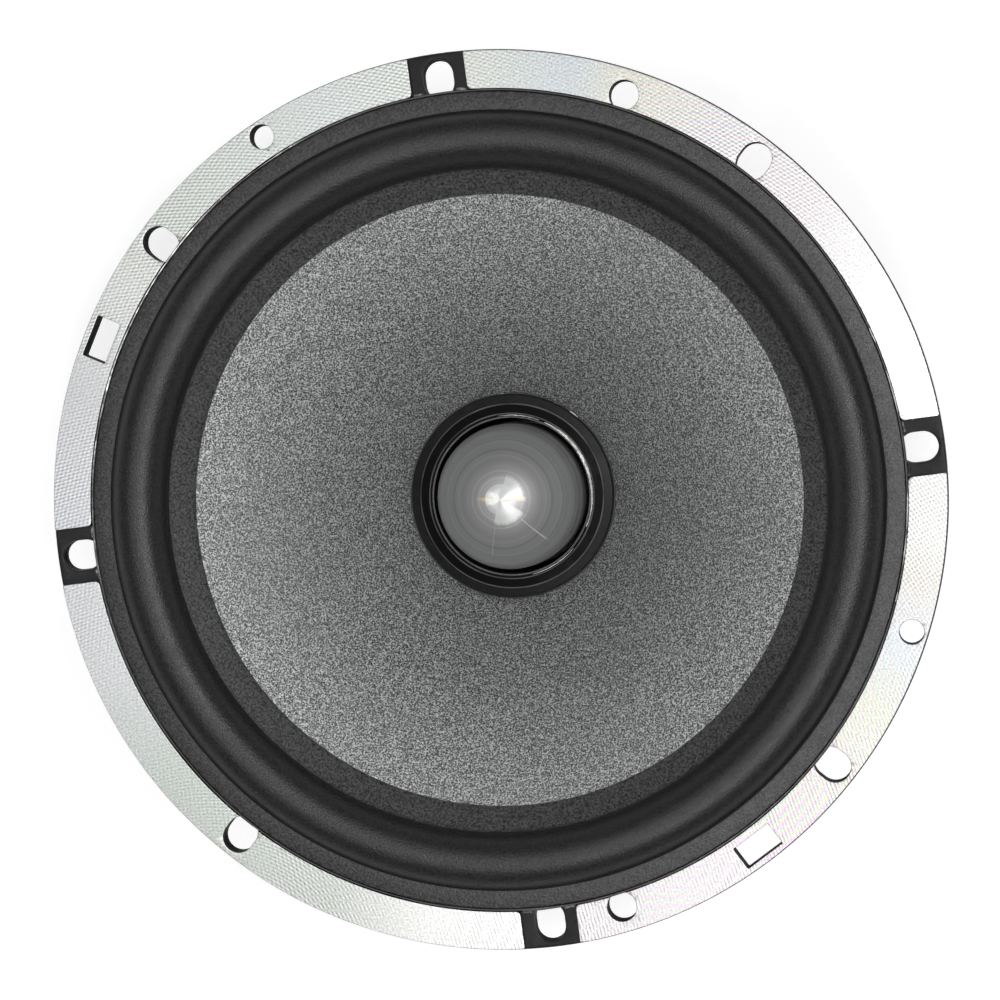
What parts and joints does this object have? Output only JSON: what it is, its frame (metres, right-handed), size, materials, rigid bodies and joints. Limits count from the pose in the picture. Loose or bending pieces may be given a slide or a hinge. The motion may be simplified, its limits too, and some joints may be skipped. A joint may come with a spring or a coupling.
{
  "type": "car speaker",
  "caption": "Round car door speaker: cast basket with machined flange, rubber half-roll surround, metallic cone and fixed bullet phase plug.",
  "frame": {"origin": "centre of the motor's flat rear face, on the speaker's axis", "axes": "+Z along the speaker's axis towards the listener; seen from the front, +X is right and +Y is up, with the terminals near -Y"},
  "size_m": [0.165, 0.165, 0.0738],
  "materials": {
    "basket_casting": "black paint with a machined bare land",
    "surround_rubber": "matt",
    "spider_cloth": "resin-treated cotton",
    "motor_steel": "black passivated steel",
    "ferrite": "ground matt",
    "turned_aluminium": "fine turned",
    "zinc_screw": "zinc plated",
    "cone_skin": "metallic speckled coating",
    "neck_plastic": "satin",
    "former_film": "satin",
    "copper_wire": "enamelled copper",
    "terminal_board": "pressed laminate",
    "terminal_brass": "plated",
    "rivet_steel": "nickel plated",
    "tinsel_lead": "braided tinsel",
    "pad_adhesive": "cured adhesive"
  },
  "bodies": {
    "frame": {"basket": "basket_casting", "surround": "surround_rubber", "spider": "spider_cloth", "top_plate": "motor_steel", "yoke": "motor_steel", "magnet": "ferrite", "phase_plug": "turned_aluminium", "plug_screw": "zinc_screw", "terminal_board": "terminal_board", "terminal_tab_positive": "terminal_brass", "terminal_tab_negative": "terminal_brass", "terminal_rivet_1": "rivet_steel", "terminal_rivet_2": "rivet_steel", "lead_positive": "tinsel_lead", "lead_negative": "tinsel_lead", "basket_screw_1": "zinc_screw", "basket_screw_2": "zinc_screw", "basket_screw_3": "zinc_screw", "basket_screw_4": "zinc_screw"},
    "moving_assembly": {"cone": "cone_skin", "neck_ring": "neck_plastic", "coil_former": "former_film", "coil_winding": "copper_wire", "lead_pad_positive": "pad_adhesive", "lead_pad_negative": "pad_adhesive"}
  },
  "joints": [
    {"name": "cone_travel", "type": "slide", "parent": "frame", "child": "moving_assembly", "axis": [0, 0, 1], "range_m": [-0.005, 0.005], "stiffness_N_per_m": 1200, "deforming": ["surround", "spider", "lead_positive", "lead_negative"]}
  ]
}
